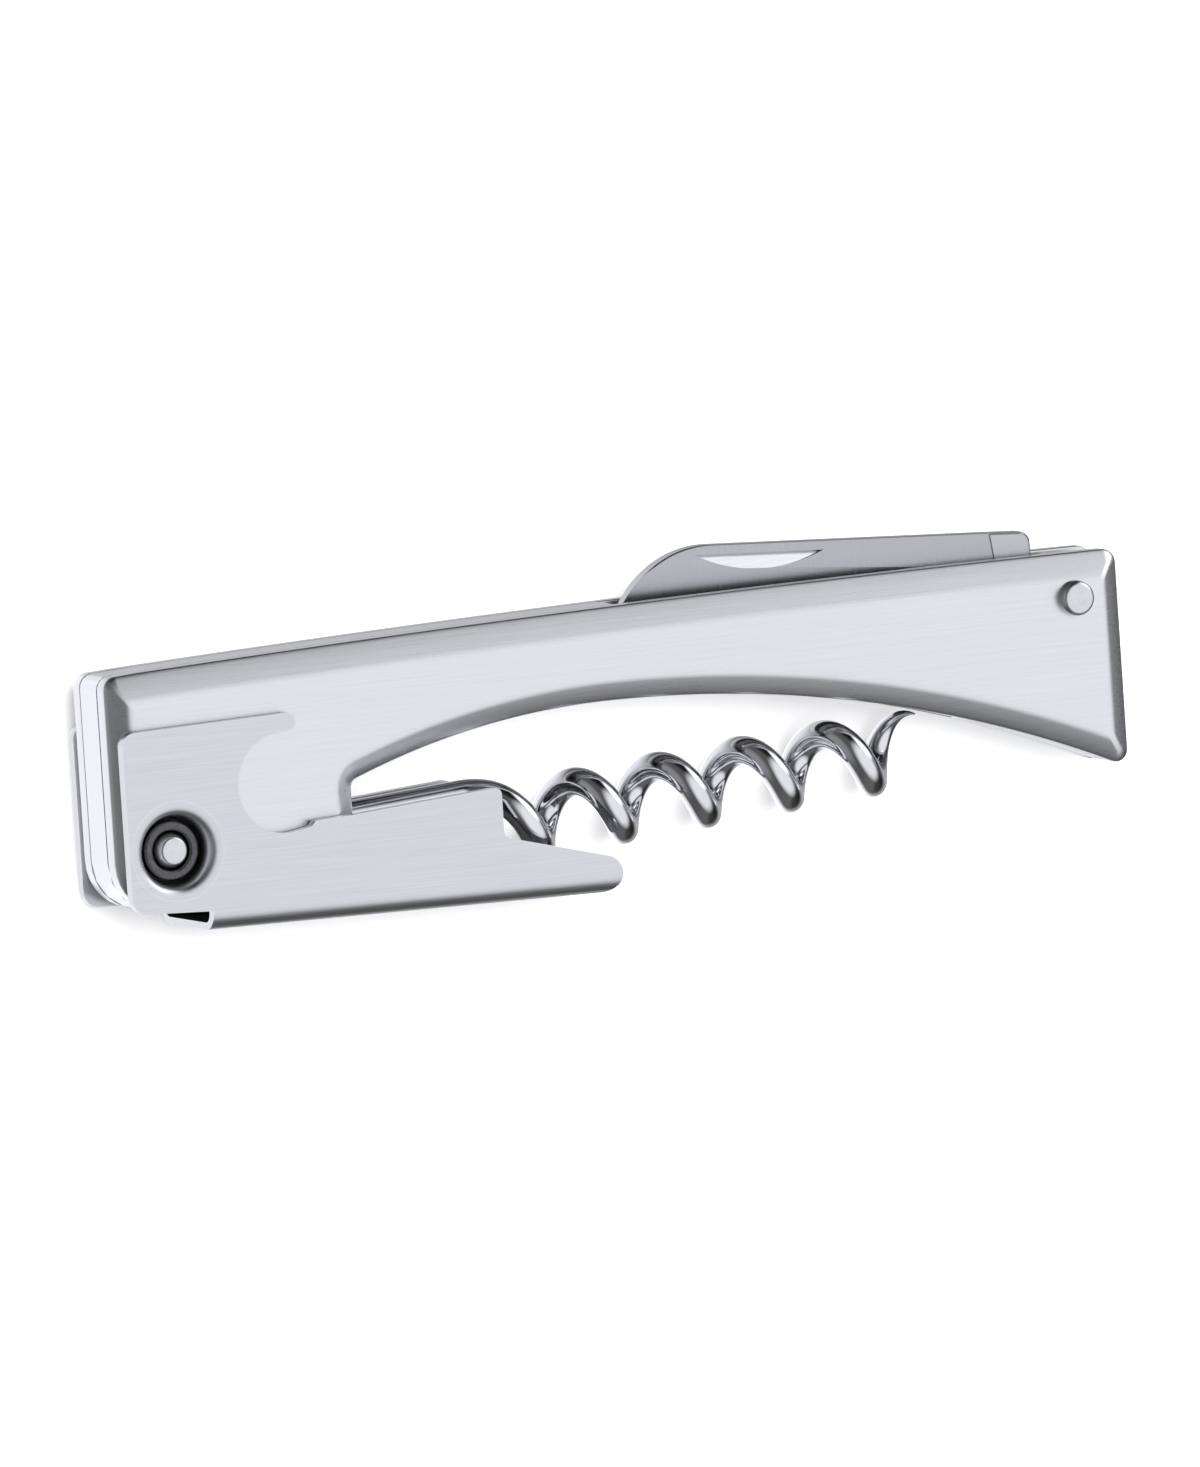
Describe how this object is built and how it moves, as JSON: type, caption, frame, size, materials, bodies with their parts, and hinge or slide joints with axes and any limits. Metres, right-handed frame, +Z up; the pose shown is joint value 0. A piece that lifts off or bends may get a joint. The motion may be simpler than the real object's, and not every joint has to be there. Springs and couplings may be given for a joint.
{
  "type": "folding lever corkscrew",
  "caption": "All-steel folding lever corkscrew, closed: arched sheet handle, side-folding worm, U-shaped lever with cap opener and a foil-cutting blade.",
  "frame": {"origin": "middle of the closed corkscrew's bounding box, on the flat surface it lies on", "axes": "+X along the handle from the lever pivot to the blade rivet, +Y from the lever's web to the blade's spine, +Z up through the handle's thickness, out of the front cover"},
  "size_m": [0.11, 0.0324, 0.0126],
  "materials": {
    "brushed_cover": "pressed stainless sheet, fine lengthwise brushing",
    "brushed_lever": "folded stainless sheet, satin with faint brushing",
    "liner_steel": "plain cold-rolled sheet",
    "spacer_steel": "satin ground edge",
    "spring_steel": "tempered spring steel",
    "blade_steel": "fine cross-ground blade steel",
    "pin_steel": "bright polished rivet",
    "polished_worm": "mirror-polished wire",
    "dark_collar": "dark rolled collar",
    "washer_brass": "thin plain washer"
  },
  "bodies": {
    "handle": {"front_cover": "brushed_cover", "back_cover": "brushed_cover", "front_liner": "liner_steel", "back_liner": "liner_steel", "spacer": "spacer_steel", "tail_spacer": "spacer_steel", "blade_spring": "spring_steel", "frame_rivets": "pin_steel", "blade_rivet": "pin_steel", "worm_pin": "pin_steel", "lever_pin": "pin_steel", "lever_collar_front": "dark_collar", "lever_collar_back": "dark_collar", "blade_washer_front": "washer_brass", "blade_washer_back": "washer_brass", "worm_washer_front": "washer_brass", "worm_washer_back": "washer_brass", "lever_washer_front": "washer_brass", "lever_washer_back": "washer_brass"},
    "lever_arm": {"lever": "brushed_lever"},
    "worm_arm": {"worm": "polished_worm"},
    "blade_arm": {"blade": "blade_steel"}
  },
  "joints": [
    {"name": "lever_pivot", "type": "hinge", "parent": "handle", "child": "lever_arm", "pos_m": [-0.0494, -0.00726, 0.0063], "axis": [0, 0, -1], "range_deg": [0, 150]},
    {"name": "worm_pivot", "type": "hinge", "parent": "handle", "child": "worm_arm", "pos_m": [-0.0369, -0.00696, 0.0063], "axis": [0, 0, -1], "range_deg": [0, 90]},
    {"name": "blade_pivot", "type": "hinge", "parent": "handle", "child": "blade_arm", "pos_m": [0.04955, 0.00744, 0.0063], "axis": [0, 0, -1], "range_deg": [0, 180]}
  ],
  "couplings": [
    {"joint": "worm_pivot", "follows": "lever_pivot", "ratio": 0.6}
  ]
}
